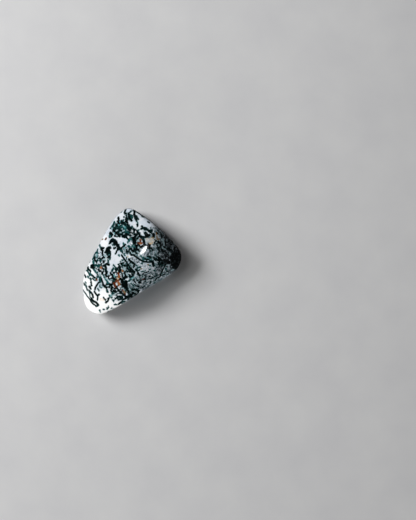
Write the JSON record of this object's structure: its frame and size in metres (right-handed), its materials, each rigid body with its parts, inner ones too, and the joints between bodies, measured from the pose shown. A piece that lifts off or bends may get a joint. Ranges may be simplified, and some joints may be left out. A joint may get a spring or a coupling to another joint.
{
  "type": "tumbled tree agate",
  "caption": "Polished tumbled stone, a rounded triangle in plan that tapers to a tip, white quartz with moss-like dark green inclusions.",
  "frame": {"origin": "on the resting face, below the middle of the stone's box seen from above", "axes": "+Z up from the resting face; seen from above with +Y up, the blunt thick end is towards +X and +Y and the tapered tip points towards -X and -Y"},
  "size_m": [0.0374, 0.0402, 0.016],
  "materials": {
    "agate": "high polish from tumbling"
  },
  "bodies": {
    "root": {"tree_agate": "agate"}
  },
  "joints": []
}
